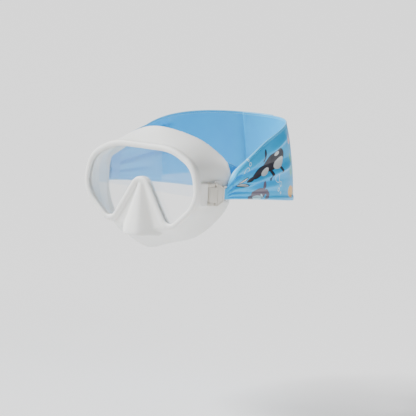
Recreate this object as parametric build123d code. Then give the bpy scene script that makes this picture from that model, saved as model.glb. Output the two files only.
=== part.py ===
from build123d import *

import math
import os

# Frameless diving mask with a nose pocket, hinged quick-release buckles and a wide fabric strap.
#
# Millimetres. +X is the wearer's left, -Y is the way the lens faces, +Z is up.
# The origin is the middle of the face opening, level with the buckles.

# ---- driving dimensions ------------------------------------------------------------------------
LENS_Y = -30.0            # front plane of the skirt, just behind the rim bead
FACE_FRONT_Y = -12.5      # where the forehead meets the seal, on the middle plane
FACE_RADIUS = 142.0       # the face side of the skirt follows an upright cylinder of this radius
WALL = 2.0                # silicone wall
RIM_WIDTH = 5.2           # bead round the lens opening
RIM_PROUD = 2.4           # how far the bead stands in front of the skirt
RIM_BACK = 4.2            # how far the bead reaches behind the front plane
LENS_THICKNESS = 3.2
LENS_BITE = 3.0           # width of glass held in the groove
LENS_FRONT = LENS_Y - 0.6
PLATE = 3.0               # front web between the lens legs
SEAL_THICKNESS = 1.8
SEAL_WIDTH = 11.0

PIN_X, PIN_Y = 74.8, -12.4
PIN_R = 1.0
PIN_CLEARANCE = 0.05
BARREL_R = 3.6            # the buckle's middle knuckle, flush with its outer face
KNUCKLE_R = 3.4
KNUCKLE_TOP = 11.0
KNUCKLE_SPLIT = 8.0       # half height of the middle knuckle
BUCKLE_ANGLE = 14.0       # the buckles splay outwards, along the pull of the strap

FABRIC = 2.0              # two layers of knitted fabric on a thin foam
LINING = 1.2
# x, y, lean x, lean y, low z, high z and outward turn of the inner layer's stations
LINING_STATIONS = [
    (75.8, 14.0, 0.0, 0.0, -3.0, 30.6, math.radians(-50.0)),
    (78.6, 16.4, 0.0, 0.0, -3.3, 29.4, math.radians(-42.0)),
    (81.2, 20.2, 0.5, 0.0, -3.6, 27.4, math.radians(-26.0)),
    (83.6, 27.0, 1.2, 0.0, -3.8, 26.0, math.radians(-10.0)),
    (85.6, 38.0, 2.4, 0.0, -4.2, 26.0, 0.0),
]
STRAP_BACK_Y = 72.0       # centre of the curve round the back of the head

# ---- lens and rim ------------------------------------------------------------------------------
# Half of the lens opening, as corners (x, z, radius) from the brow round to the top of the nose notch.
LENS_CORNERS = [
    (36.0, 39.0, 52.0),
    (62.5, 25.0, 24.0),
    (68.6, -2.0, 25.0),
    (60.5, -15.5, 26.0),
    (37.2, -36.0, 7.6),
]
NOTCH_TOP = (0.0, 22.6, 13.0)


def on_front(x, z, y=LENS_Y):
    return Vector(x, y, z)


def lens_outline():
    """Closed wire of the lens opening in the front plane."""
    right = [(x, z) for x, z, _ in LENS_CORNERS]
    corners = right + [NOTCH_TOP[:2]] + [(-x, z) for x, z in reversed(right)]
    radii = [r for _, _, r in LENS_CORNERS]
    radii = radii + [NOTCH_TOP[2]] + radii[::-1]
    return FilletPolyline(*[on_front(x, z) for x, z in corners], radius=radii, close=True)


def plate_from(outline, grow, y_from, y_to):
    """Slab in the shape of the lens opening, grown by a margin, between two depths."""
    wire = offset(outline, grow, kind=Kind.ARC) if grow else outline
    slab = extrude(make_face(wire.edges()), amount=y_to - y_from, dir=(0, 1, 0))
    return Pos(0, y_from - LENS_Y, 0) * slab


def rim_bead(outline):
    """Stepped bead that wraps the edge of the glass."""
    front = LENS_Y - RIM_PROUD
    ring = plate_from(outline, RIM_WIDTH, front, LENS_Y + RIM_BACK)
    crest = plate_from(outline, RIM_WIDTH - 1.2, front - 0.6, front + 1.0)
    return ring + crest - plate_from(outline, 0, front - 2, LENS_Y + RIM_BACK + 1)


# ---- skirt -------------------------------------------------------------------------------------
# Half of the skirt from the brow round to under the nose: the wall leaves the rim at the first
# point (x, z), reaches the face at the second, and flares between them with the given power.
WALL_LINES = [
    ((0.0, 42.6), (0.0, 61.5), 1.0),
    ((32.0, 42.0), (33.0, 59.5), 1.0),
    ((52.0, 36.0), (52.0, 52.0), 1.2),
    ((63.5, 26.5), (67.5, 43.0), 1.6),
    ((69.0, 13.0), (78.2, 28.0), 2.4),
    ((69.9, -1.0), (81.8, 6.0), 3.4),
    ((67.0, -12.5), (79.0, -12.0), 3.2),
    ((60.0, -22.0), (72.0, -26.0), 2.2),
    ((50.5, -30.5), (60.5, -39.5), 1.6),
    ((39.0, -37.6), (45.0, -49.5), 1.3),
    ((22.0, -39.6), (24.0, -55.8), 1.1),
    ((0.0, -39.6), (0.0, -62.0), 1.0),
]
WALL_STATIONS = [LENS_Y, -20.0, -8.0, 4.0, 15.0]


def face_y(x):
    """Depth of the face surface at a distance x from the middle plane."""
    return FACE_FRONT_Y + FACE_RADIUS - math.sqrt(FACE_RADIUS**2 - x**2)


def moved_inwards(points, distance):
    """The points of a closed outline, each moved towards the inside along its own normal."""
    count = len(points)
    moved = []
    for i, (x, z) in enumerate(points):
        before, after = points[i - 1], points[(i + 1) % count]
        run_x, run_z = after[0] - before[0], after[1] - before[1]
        length = math.hypot(run_x, run_z)
        moved.append((x + distance * run_z / length, z - distance * run_x / length))
    return moved


def both_sides(half):
    """A half outline from top to bottom, closed with its mirror image."""
    return half + [(-x, z) for x, z in reversed(half[1:-1])]


def wall_section(y, inset=0.0):
    half = []
    for rim, seal, flare in WALL_LINES:
        share = (y - LENS_Y) / (face_y(seal[0]) - LENS_Y)
        reach = max(share, 0.0) ** flare
        half.append((rim[0] + (seal[0] - rim[0]) * reach, rim[1] + (seal[1] - rim[1]) * reach))
    outline = both_sides(half)
    if inset:
        outline = moved_inwards(outline, inset)
    return Wire([Edge.make_spline([Vector(x, y, z) for x, z in outline], periodic=True)])


def wall_loft(stations, inset=0.0):
    return Solid.make_loft([wall_section(y, inset) for y in stations])


def face_cylinder(radius):
    upright = Solid.make_cylinder(radius, 260.0, Plane((0, FACE_FRONT_Y + FACE_RADIUS, -130.0)))
    return upright


def seal_opening():
    """Prism through the hole that the face looks out of."""
    outline = both_sides([seal for _, seal, _ in WALL_LINES])
    inner = moved_inwards(outline, SEAL_WIDTH)
    wire = Wire([Edge.make_spline([Vector(x, LENS_Y + PLATE, z) for x, z in inner], periodic=True)])
    return extrude(make_face(wire.edges()), amount=60.0, dir=(0, 1, 0))


# ---- nose pocket -------------------------------------------------------------------------------
NOSE_BOTTOM_Z, NOSE_TOP_Z = -48.2, 8.0
NOSE_BOTTOM = (13.5, -43.6, 27.0)      # front half width, front depth, half width at the base
NOSE_TOP = (2.6, -33.6, 5.0)
NOSE_BASE_Y = -24.0


def nose_section(z, shape, inset, base_y):
    half_front, front_y, half_base = shape
    half_front, half_base, front_y = half_front - inset * 0.6, half_base - inset, front_y + inset
    corners = [
        (half_base, base_y), (half_base * 0.8, LENS_Y + 1.0), (half_front, front_y),
        (-half_front, front_y), (-half_base * 0.8, LENS_Y + 1.0), (-half_base, base_y),
    ]
    soft = min(0.42 * half_front, 5.5)
    radii = [0.3, soft * 0.8, soft, soft, soft * 0.8, 0.3]
    return Wire(FilletPolyline(*[Vector(x, y, z) for x, y in corners], radius=radii, close=True).edges())


def nose_block(inset=0.0, base_y=NOSE_BASE_Y):
    """Wedge over the nose. An inset gives the hollow inside it."""
    sections = [
        nose_section(NOSE_BOTTOM_Z + inset, NOSE_BOTTOM, inset, base_y),
        nose_section(NOSE_TOP_Z - inset * 3, NOSE_TOP, inset * 0.5, base_y),
    ]
    return Solid.make_loft(sections, ruled=True)


# ---- lugs and anchors --------------------------------------------------------------------------
LUG_ANGLE = 15.0          # the lug's outer face turns outwards towards the buckle
LUG_LENGTH, LUG_HALF = 12.0, 11.6


def box_between(low, high):
    size = [b - a for a, b in zip(low, high)]
    middle = [(a + b) / 2 for a, b in zip(low, high)]
    return Pos(*middle) * Box(*size)


def lug():
    """Thick pad on the skirt wall that the anchor is moulded into."""
    block = box_between((-6.0, 0.0, -LUG_HALF), (0.0, LUG_LENGTH, LUG_HALF))
    block = fillet(block.edges().filter_by(Axis.Z).sort_by(Axis.X)[-2:], 0.8)
    block = Pos(72.9, -25.1, 0) * Rot(0, 0, -LUG_ANGLE) * block
    return block - upright_cylinder(BARREL_R + 0.5, -20, 20)


def upright_cylinder(radius, low, high, x=PIN_X, y=PIN_Y):
    return Solid.make_cylinder(radius, high - low, Plane((x, y, low)))


def anchor():
    """Rigid plate moulded into the lug, with two knuckles for the hinge pin."""
    plate = box_between((70.4, -24.5, -KNUCKLE_TOP), (72.0, PIN_Y - 4.2, KNUCKLE_TOP))
    plate -= box_between((69.0, -22.5, -6.0), (73.0, -18.6, 6.0))
    for low, high in ((KNUCKLE_SPLIT, KNUCKLE_TOP), (-KNUCKLE_TOP, -KNUCKLE_SPLIT)):
        arm = box_between((71.4, PIN_Y - 5.0, low), (PIN_X + 1.6, PIN_Y, high))
        plate += arm + upright_cylinder(KNUCKLE_R, low, high)
    return plate - upright_cylinder(PIN_R, -20, 20)


def hinge_pin():
    return chamfer(upright_cylinder(PIN_R, -KNUCKLE_TOP, KNUCKLE_TOP).edges().filter_by(GeomType.CIRCLE), 0.25)


# ---- buckle, in its own frame: x along the pull, y outwards, z up, origin on the pin -------------
BODY_FRONT, BODY_SHOULDER, BODY_BACK = 4.0, 6.0, 13.4
BODY_HALF, BODY_TAIL_HALF = 11.2, 6.8
BODY_Y = (-2.2, 3.6)
TONGUE_HALF_Z = 4.6
TONGUE_Y = (-0.2, 1.2)
SLOT_GAP = 0.25
FLOOR = 0.6               # skin between the tongue's slot and the button
BUTTON_TRAVEL = 0.8
BUTTON_MARGIN = 1.3       # rim of the buckle round the button
EAR_HALF = 13.2           # the inner plate stands a little above the buckle


def buckle_place(shape):
    """From the buckle's own frame to its place on the wearer's right."""
    turn = math.radians(BUCKLE_ANGLE)
    frame = Plane(origin=(-PIN_X, PIN_Y, 0), x_dir=(-math.sin(turn), math.cos(turn), 0), z_dir=(0, 0, 1))
    return frame.location * shape


def buckle_profile(margin=0.0):
    """Side view of the buckle: square at the hinge, tapering to the strap."""
    front, back = BODY_FRONT + margin, BODY_BACK - margin
    half, tail = BODY_HALF - margin, BODY_TAIL_HALF - margin * 0.8
    shoulder = BODY_SHOULDER + margin * 0.5
    corners = [(front, -half), (shoulder, -half), (back, -tail), (back, tail), (shoulder, half), (front, half)]
    return FilletPolyline(*[Vector(x, 0, z) for x, z in corners], radius=[0.5, 1.2, 1, 1, 1.2, 0.5], close=True)


def buckle_slab(y_low, y_high, margin=0.0):
    face = make_face(buckle_profile(margin).edges())
    slab = extrude(face, amount=y_high - y_low, dir=(0, 1, 0))
    return Pos(0, y_low, 0) * slab


def tongue_slot():
    return box_between(
        (BODY_FRONT + 1.4, TONGUE_Y[0] - SLOT_GAP, -TONGUE_HALF_Z - SLOT_GAP),
        (BODY_BACK + 1, TONGUE_Y[1] + SLOT_GAP, TONGUE_HALF_Z + SLOT_GAP),
    )


STEM = (7.0, 9.6, 2.0)    # from, to along the pull, half height


def buckle_body():
    """Outer half of the receiver, with the middle knuckle and the button's recess."""
    body = buckle_slab(TONGUE_Y[0] - SLOT_GAP, BODY_Y[1])
    half = KNUCKLE_SPLIT - 0.3
    body += Solid.make_cylinder(BARREL_R, 2 * half, Plane((0, 0, -half)))
    body += box_between((0, TONGUE_Y[0] - SLOT_GAP, -half), (BODY_FRONT + 1, BARREL_R, half))
    body -= Solid.make_cylinder(PIN_R + PIN_CLEARANCE, 40, Plane((0, 0, -20)))
    body -= tongue_slot()
    body -= buckle_slab(TONGUE_Y[1] + SLOT_GAP + FLOOR, BODY_Y[1] + 1, BUTTON_MARGIN)
    start, end, half = STEM
    return body - box_between((start - 0.2, 0, -half - 0.2), (end + 0.2, 5, half + 0.2))


def buckle_cover():
    """Inner half of the receiver, a plate on the face side that stands up as an ear."""
    cover = buckle_slab(BODY_Y[0], TONGUE_Y[0] - SLOT_GAP)
    ear = box_between((BODY_FRONT + 0.6, BODY_Y[0], 2.0), (BODY_BACK + 0.2, TONGUE_Y[0] - SLOT_GAP, EAR_HALF))
    cover += fillet(ear.edges().filter_by(Axis.Y).sort_by(Axis.Z)[-2:], 1.6)
    cover -= Solid.make_cylinder(1.7, 1.0, Plane((8.3, TONGUE_Y[0] - SLOT_GAP, 0), z_dir=(0, -1, 0)))
    start, end, half = STEM
    floor_y = TONGUE_Y[0] - SLOT_GAP - BUTTON_TRAVEL
    return cover - box_between((start - 0.2, floor_y, -half - 0.2), (end + 0.2, TONGUE_Y[0], half + 0.2))


def release_button():
    """Push plate with a stem through the tongue's window that holds the latch step."""
    cap = buckle_slab(TONGUE_Y[1] + SLOT_GAP + FLOOR + BUTTON_TRAVEL + 0.1, BODY_Y[1], BUTTON_MARGIN + 0.25)
    start, end, half = STEM
    stem = box_between((start, TONGUE_Y[0] - 0.15, -half), (end, BODY_Y[1] - 0.3, half))
    return cap + stem


def button_spring():
    """Small coil under the stem, drawn as a sleeve of its outer and inner size."""
    seat = Plane((8.3, TONGUE_Y[0] - SLOT_GAP - 1.0, 0), z_dir=(0, 1, 0))
    return Solid.make_cylinder(1.5, 1.08, seat) - Solid.make_cylinder(1.1, 1.08, seat)


def strap_tongue():
    """Plate that plugs into the buckle and carries the frame round the strap bar."""
    blade = box_between((BODY_FRONT + 1.8, TONGUE_Y[0], -TONGUE_HALF_Z), (BODY_BACK + 1.0, TONGUE_Y[1], TONGUE_HALF_Z))
    start, end, half = STEM
    blade -= box_between((start - 0.3, -2, -half - 0.3), (end + 0.3, 3, half + 0.3))
    frame = box_between((BODY_BACK + 0.4, -1.1, -8.4), (BODY_BACK + 6.2, 2.3, 8.4))
    frame = fillet(frame.edges().filter_by(Axis.Y), 1.4)
    frame -= box_between((BODY_BACK + 1.9, -3, -6.6), (BODY_BACK + 7, 4, 6.6))
    return blade + frame - strap_bar()


BAR_X, BAR_Y, BAR_R = BODY_BACK + 4.4, 0.6, 0.9


def strap_bar():
    """Steel bar that the end of the strap is sewn round, pressed into the tongue's frame."""
    return Solid.make_cylinder(BAR_R, 15.2, Plane((BAR_X, BAR_Y, -7.6)))


# ---- strap -------------------------------------------------------------------------------------
BAR_ROW_X = PIN_X + BAR_X * math.sin(math.radians(BUCKLE_ANGLE)) + BAR_Y * math.cos(math.radians(BUCKLE_ANGLE))
BAR_ROW_Y = PIN_Y + BAR_X * math.cos(math.radians(BUCKLE_ANGLE)) - BAR_Y * math.sin(math.radians(BUCKLE_ANGLE))
STRAP_SIDE_X = 87.0
STRAP_DEPTH = 108.0
TOP_LEAN_X, TOP_LEAN_Y = 8.5, 18.0       # the upper edge leans in over the back of the head
SIDE_YS = [BAR_ROW_Y + 2.0, 9.0, 13.0, 19.0, 27.0, 38.0, 54.0, STRAP_BACK_Y]
BACK_TURNS = [18.0, 36.0, 54.0, 68.0, 77.0, 83.0, 90.0]
LAP_TURNS = [97.0, 103.0]                # each half runs this far past the middle of the back
LAP_GAP = 2.4             # room between the halves for the hook and loop pads


def band_edges(y):
    """Height of the lower and upper edge where the lower edge is this far back."""
    share = min((y - BAR_ROW_Y) / (STRAP_BACK_Y + STRAP_DEPTH - BAR_ROW_Y), 1.0)
    low = -5.0 - 17.0 * share**1.4
    high = 67.0 - 47.0 * (1.0 - share) ** 2.2
    gathered = 14.5 * math.exp(-(y - BAR_ROW_Y) / 3.0)
    return low, high - gathered


def side_x(y):
    """Plan curve of the strap along the side of the head."""
    share = min((y - BAR_ROW_Y) / (STRAP_BACK_Y - BAR_ROW_Y), 1.0)
    return STRAP_SIDE_X - (STRAP_SIDE_X - BAR_ROW_X) * (1.0 - share) ** 4


def side_station(y):
    """Outer x, outer y, lean x, lean y, low, high and outward turn of a station at the side."""
    share = max(0.0, (y - BAR_ROW_Y) / (STRAP_BACK_Y - BAR_ROW_Y))
    return (side_x(y), y, TOP_LEAN_X * share**1.5, 0.0, *band_edges(y), 0.0)


def back_station(angle, outwards):
    """The same, for a station round the back of the head."""
    turn = math.radians(angle)
    grow = outwards * min(1.0, max(0.0, (angle - 36.0) / 36.0))
    x, y = (STRAP_SIDE_X + grow) * math.cos(turn), STRAP_BACK_Y + (STRAP_DEPTH + grow) * math.sin(turn)
    return (x, y, TOP_LEAN_X * math.cos(turn), TOP_LEAN_Y * math.sin(turn), *band_edges(y), turn)


def strap_stations(outwards=0.0):
    side = [side_station(y) for y in SIDE_YS]
    return side + [back_station(angle, outwards) for angle in BACK_TURNS + LAP_TURNS]


def strap_ribbon(stations, inner, outer, low_share=0.0, high_share=1.0):
    """Ruled band through the stations, between two distances out from the head."""
    wires = []
    for x, y, lean_x, lean_y, low, high, turn in stations:
        out_x, out_y = math.cos(turn), math.sin(turn)
        corners = []
        for share, away in ((low_share, inner), (low_share, outer), (high_share, outer), (high_share, inner)):
            z = low + (high - low) * share
            corners.append(Vector(x - lean_x * share + away * out_x, y - lean_y * share + away * out_y, z))
        wires.append(Wire.make_polygon(corners, close=True))
    return Solid.make_loft(wires, ruled=True)


def strap_half(outwards=0.0):
    return strap_ribbon(strap_stations(outwards), 0.0, FABRIC)


def strap_lining():
    """Inner layer of the fabric, which curves in behind the edge of the skirt at its front end."""
    return strap_ribbon(LINING_STATIONS, -LINING, 0.0)


def closure_pad(inner, outer, outwards):
    """Hook or loop pad between the two halves at the back."""
    stations = [back_station(angle, outwards) for angle in (78.0, 83.0, 90.0, 97.0, 102.0)]
    return strap_ribbon(stations, inner, outer, 0.1, 0.9)


# ---- assembly ----------------------------------------------------------------------------------
def other_side(shape):
    return mirror(shape, about=Plane.YZ)


def skirt(outline, anchor_solid):
    outer = wall_loft(WALL_STATIONS)
    hollow = wall_loft([LENS_Y + PLATE] + WALL_STATIONS[1:-1] + [WALL_STATIONS[-1] + 1.0], WALL)
    face = face_cylinder(FACE_RADIUS)
    shell = outer - hollow - face
    seal = (outer & (face_cylinder(FACE_RADIUS + SEAL_THICKNESS) - face)) - seal_opening()
    body = shell + seal + rim_bead(outline)
    body += nose_block()
    body -= nose_block(WALL, LENS_Y + 17.0)
    body -= plate_from(outline, 0, LENS_Y - 10, LENS_Y + 12)
    body -= plate_from(outline, LENS_BITE, LENS_FRONT, LENS_FRONT + LENS_THICKNESS)
    for side in (lug(), other_side(lug())):
        body += side
    for side in (anchor_solid, other_side(anchor_solid)):
        body -= side
    return body


def build():
    outline = lens_outline()
    left_anchor = anchor()
    pieces = {
        "skirt": skirt(outline, left_anchor),
        "lens": plate_from(outline, LENS_BITE, LENS_FRONT, LENS_FRONT + LENS_THICKNESS),
    }
    on_left = {"anchor": left_anchor, "hinge_pin": hinge_pin(), "strap_lining": strap_lining()}
    on_right = {
        "buckle_body": buckle_body(),
        "buckle_cover": buckle_cover(),
        "release_button": release_button(),
        "button_spring": button_spring(),
        "strap_tongue": strap_tongue(),
        "strap_bar": strap_bar(),
    }
    for name, shape in on_left.items():
        pieces[f"{name}_left"] = shape
        pieces[f"{name}_right"] = other_side(shape)
    for name, shape in on_right.items():
        placed = buckle_place(shape)
        pieces[f"{name}_right"] = placed
        pieces[f"{name}_left"] = other_side(placed)
    pieces["strap_left"] = strap_half()
    pieces["strap_right"] = other_side(strap_half(FABRIC + LAP_GAP))
    pieces["loop_pad"] = closure_pad(FABRIC + 0.2, FABRIC + 0.95, 0.0)
    pieces["hook_pad"] = other_side(closure_pad(-0.95, -0.2, FABRIC + LAP_GAP))
    return pieces


def main():
    os.makedirs("parts", exist_ok=True)
    for name, shape in build().items():
        solids = shape.solids()
        export_step(solids[0] if len(solids) == 1 else Compound(solids), f"parts/{name}.step")


main()
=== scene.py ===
# %% [markdown]
# A diving mask for snorkelling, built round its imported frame. The real one is a single pane of
# tempered glass held in a soft white silicone skirt, with a hollow nose pocket, two small hinged
# buckles and a wide printed fabric strap gathered into them. The frame gives the places and sizes
# of the hard pieces, and they are only dressed here. The skirt and the strap are soft, and a plain
# solid can't show how they flare and fold, so they are laid out again in the frame's millimetres.
# The script loads the frame first and keeps its outer box.

# %% Load the frame
import bpy
import math
from mathutils import Matrix, Vector


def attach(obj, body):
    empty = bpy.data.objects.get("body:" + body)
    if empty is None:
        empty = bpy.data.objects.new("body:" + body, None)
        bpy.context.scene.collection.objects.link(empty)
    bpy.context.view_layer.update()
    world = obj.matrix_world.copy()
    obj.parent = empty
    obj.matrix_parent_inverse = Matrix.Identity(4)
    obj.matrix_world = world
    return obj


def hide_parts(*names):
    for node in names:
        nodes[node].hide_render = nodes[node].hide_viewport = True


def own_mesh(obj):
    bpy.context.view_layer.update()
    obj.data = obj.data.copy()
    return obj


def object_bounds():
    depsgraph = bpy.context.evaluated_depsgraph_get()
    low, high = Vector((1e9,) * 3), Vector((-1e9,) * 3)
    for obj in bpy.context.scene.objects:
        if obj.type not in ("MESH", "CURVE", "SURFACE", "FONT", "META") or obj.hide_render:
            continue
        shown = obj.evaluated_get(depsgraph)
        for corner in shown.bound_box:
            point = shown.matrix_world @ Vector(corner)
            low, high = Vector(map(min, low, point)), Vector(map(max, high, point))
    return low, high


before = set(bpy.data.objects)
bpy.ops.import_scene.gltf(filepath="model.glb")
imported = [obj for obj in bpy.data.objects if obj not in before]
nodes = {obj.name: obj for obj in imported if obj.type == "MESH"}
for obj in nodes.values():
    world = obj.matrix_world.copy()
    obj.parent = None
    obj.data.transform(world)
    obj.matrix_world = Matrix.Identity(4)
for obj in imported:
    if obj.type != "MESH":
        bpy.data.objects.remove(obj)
cad_box = [list(corner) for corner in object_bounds()]
MM = 0.001
print("loaded", len(nodes), "nodes", cad_box)

# %% [markdown]
# The camera stands in front of the mask, a little above it and towards the wearer's left, with a
# long lens and a slight roll. It could be turned by Euler angles, but a roll about its own line of
# sight is simpler to read as three axes. It is made first, because every later choice is judged
# through it.

# %% Camera
AZIMUTH, ELEVATION, ROLL = math.radians(36.9), math.radians(7.5), math.radians(3.1)
DISTANCE, VIEW_WIDTH = 2.2, 0.416
AIM, ASIDE = Vector((0.0, -0.030, -0.021)), 0.0681
SENSOR = 36.0


def camera_axes():
    level = Vector((math.cos(AZIMUTH), math.sin(AZIMUTH), 0.0))
    forward = Vector((math.sin(AZIMUTH), -math.cos(AZIMUTH), 0.0))
    back = forward * math.cos(ELEVATION) + Vector((0.0, 0.0, math.sin(ELEVATION)))
    up = back.cross(level)
    right = level * math.cos(ROLL) + up * math.sin(ROLL)
    return right, back.cross(right), back


right, up, back = camera_axes()
camera_data = bpy.data.cameras.new("camera")
camera_data.sensor_width = SENSOR
camera_data.lens = DISTANCE / VIEW_WIDTH * SENSOR
camera_data.clip_end = 50.0
camera = bpy.data.objects.new("camera", camera_data)
bpy.context.scene.collection.objects.link(camera)
axes = Matrix((right, up, back)).transposed().to_4x4()
camera.matrix_world = Matrix.Translation(back * DISTANCE + right * ASIDE + AIM) @ axes
bpy.context.scene.camera = camera
print("camera at", tuple(round(c, 3) for c in camera.location))

# %% [markdown]
# The stage is plain: a pale floor, well below, because a head would hold the mask up. The light is
# that of a bright room: a broad window high in front on the wearer's right, so that the left side
# of the skirt stays softly shaded, a small panel on the left that lifts the buckle and the strap's
# folds, and a weak white surround. Panels all round would be more even, but they would take away
# the shading that shows how round the silicone is.

# %% Stage and light
FLOOR_DROP = 0.16
FLOOR_Z = cad_box[0][2] - FLOOR_DROP
WINDOW_FROM = Vector((-0.85, -0.5, 0.95))


def plain_material(name, colour, roughness):
    material = bpy.data.materials.new(name)
    material.use_nodes = True
    shader = material.node_tree.nodes["Principled BSDF"]
    shader.inputs["Base Color"].default_value = (*colour, 1.0)
    shader.inputs["Roughness"].default_value = roughness
    return material


bpy.ops.object.select_all(action="DESELECT")
bpy.ops.mesh.primitive_plane_add(size=30.0, location=(0.0, 0.0, FLOOR_Z))
floor = bpy.context.object
floor.name = "floor"
floor.data.materials.append(plain_material("floor_paper", (0.93, 0.93, 0.93), 0.9))


def light_from(name, kind, place, energy):
    """A light at a place, turned towards the middle of the strap."""
    data = bpy.data.lights.new(name, kind)
    data.energy = energy
    light = bpy.data.objects.new(name, data)
    light.location = place
    light.rotation_euler = (Vector((0.0, 0.05, 0.0)) - Vector(place)).to_track_quat("-Z", "Y").to_euler()
    bpy.context.scene.collection.objects.link(light)
    return light


panel = light_from("panel", "AREA", (1.6, -0.7, 1.2), 9.0)
panel.data.size = 0.7
window = light_from("window", "SUN", (0.0, 0.0, 0.0), 7.8)
window.data.angle = math.radians(30.0)
window.rotation_euler = WINDOW_FROM.to_track_quat("Z", "Y").to_euler()
world = bpy.data.worlds.new("surround")
world.use_nodes = True
surround = world.node_tree.nodes["Background"]
surround.inputs["Color"].default_value = (1.0, 1.0, 1.0, 1.0)
surround.inputs["Strength"].default_value = 0.15
bpy.context.scene.world = world
print("floor at", round(FLOOR_Z, 3))

# %% [markdown]
# Finishes are written as short Python expressions. Field wraps one socket, so that adding or
# multiplying two of them puts the right Math node into the tree, and Finish makes any other node.


# %% Shader helpers
class Field:
    """One number that varies over a surface."""

    def __init__(self, finish, socket):
        self.finish, self.socket = finish, socket

    def math(self, operation, *others):
        return self.finish.node("ShaderNodeMath", {"operation": operation}, self, *others)

    def __add__(self, other):
        return self.math("ADD", other)

    def __sub__(self, other):
        return self.math("SUBTRACT", other)

    def __mul__(self, other):
        return self.math("MULTIPLY", other)

    def __rsub__(self, other):
        return self.finish.node("ShaderNodeMath", {"operation": "SUBTRACT"}, other, self)

    __radd__, __rmul__ = __add__, __mul__

    def abs(self):
        return self.math("ABSOLUTE")

    def max(self, other):
        return self.math("MAXIMUM", other)

    def min(self, other):
        return self.math("MINIMUM", other)

    def wrap(self, high, low):
        return self.math("WRAP", high, low)

    def ramp(self, low, high):
        """0 below low, 1 above high, smooth between."""
        smooth_step = {"interpolation_type": "SMOOTHSTEP"}
        return self.finish.node("ShaderNodeMapRange", smooth_step, self, low, high, 0.0, 1.0)


class Finish:
    """A material and its node tree."""

    def __init__(self, name):
        self.material = bpy.data.materials.new(name)
        self.material.use_nodes = True
        self.tree = self.material.node_tree
        self.shader = self.tree.nodes["Principled BSDF"]

    def put(self, target, value):
        if isinstance(value, Field):
            self.tree.links.new(value.socket, target)
        elif isinstance(value, tuple) and len(value) < len(target.default_value):
            target.default_value = (*value, 1.0)
        else:
            target.default_value = value

    def node(self, kind, settings=None, *values, output=0, **named):
        made = self.tree.nodes.new(kind)
        for key, value in (settings or {}).items():
            setattr(made, key, value)
        for target, value in zip(made.inputs, values):
            self.put(target, value)
        for key, value in named.items():
            self.put(made.inputs[key.replace("_", " ")], value)
        return Field(self, made.outputs[output])

    def mix(self, share, first, second):
        made = self.tree.nodes.new("ShaderNodeMix")
        made.data_type = "RGBA"
        for target, value in ((made.inputs[0], share), (made.inputs[6], first), (made.inputs[7], second)):
            self.put(target, value)
        return Field(self, made.outputs[2])

    def place(self):
        return self.node("ShaderNodeTexCoord", output="Object")

    def noise(self, scale, detail=2.0, rough=0.5, at=None):
        return self.node(
            "ShaderNodeTexNoise", None, Vector=at or self.place(), Scale=scale, Detail=detail, Roughness=rough
        )

    def split(self, vector):
        made = self.tree.nodes.new("ShaderNodeSeparateXYZ")
        self.put(made.inputs[0], vector)
        return [Field(self, made.outputs[k]) for k in range(3)]

    def join(self, x, y, z=0.0):
        return self.node("ShaderNodeCombineXYZ", None, x, y, z)

    def from_ellipse(self, at, x, y, long, wide, turn):
        """1 on the ellipse's outline, less inside and more outside."""
        turned = (0.0, 0.0, math.radians(turn))
        size = (long, wide, 1.0)
        own = self.node("ShaderNodeMapping", {"vector_type": "TEXTURE"}, at, (x, y, 0.0), turned, size)
        return self.node("ShaderNodeVectorMath", {"operation": "LENGTH"}, own, output="Value")

    def bump(self, height, distance, strength=1.0):
        return self.node("ShaderNodeBump", None, Strength=strength, Distance=distance, Height=height)

    def set(self, **sockets):
        for key, value in sockets.items():
            self.put(self.shader.inputs[key.replace("_", " ")], value)
        return self


# %% [markdown]
# Silicone is a soft matte rubber that lets a little light into it, so its shadows are warm and
# never black. Plain white paint would look like plaster, so the finish has some light under its
# skin, a slow cloud in its gloss and a very fine grain. The clear pane is thin glass with a faint
# green tint. The plastics have the fine spark texture of a mould, a little creamier than the skirt,
# and the small pins and springs are drawn steel.


# %% Finishes of the hard pieces and the skirt
def silicone():
    f = Finish("skirt_silicone")
    cloud = f.noise(26.0, 3.0)
    grain = f.noise(1900.0, 2.0)
    colour = f.mix(cloud.ramp(0.3, 0.7), (0.855, 0.862, 0.835), (0.895, 0.9, 0.88))
    f.set(Base_Color=colour, Roughness=0.44 + 0.1 * cloud, Normal=f.bump(grain, 0.00003, 0.5))
    f.set(Subsurface_Weight=0.22, Subsurface_Radius=(0.9, 0.8, 0.65), Subsurface_Scale=0.0035, IOR=1.41)
    return f.material


def glass():
    f = Finish("lens_glass")
    haze = f.noise(18.0, 3.0)
    f.set(Base_Color=(0.93, 0.97, 0.965), Roughness=0.02 + 0.03 * haze, Alpha=0.20 + 0.04 * haze)
    f.set(Transmission_Weight=0.9, IOR=1.5)
    return f.material


def moulded(name, colour, gloss):
    f = Finish(name)
    spark = f.noise(2600.0, 2.0)
    cloud = f.noise(90.0, 3.0)
    darker = tuple(0.93 * c for c in colour)
    f.set(Base_Color=f.mix(cloud, darker, colour), Roughness=gloss + 0.12 * cloud)
    f.set(Normal=f.bump(spark, 0.00003, 0.6), IOR=1.46)
    f.set(Subsurface_Weight=0.08, Subsurface_Radius=(0.9, 0.8, 0.65), Subsurface_Scale=0.0015)
    return f.material


def steel():
    f = Finish("pin_steel")
    drawn = f.noise(1200.0, 3.0)
    f.set(Base_Color=(0.62, 0.63, 0.64), Metallic=1.0, Roughness=0.22 + 0.2 * drawn)
    return f.material


MATERIALS = {
    "skirt_silicone": silicone(),
    "lens_glass": glass(),
    "buckle_plastic": moulded("buckle_plastic", (0.70, 0.675, 0.605), 0.40),
    "white_plastic": moulded("white_plastic", (0.84, 0.84, 0.81), 0.36),
    "pin_steel": steel(),
}

# %% [markdown]
# The small plastic pieces come straight from the frame. Their meshes there are loose triangles, and
# those are never changed, so each piece is a merged copy that stands for its frame node. The same
# helper gives the cutters that open the skirt for the pane and the buckle anchors.


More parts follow.
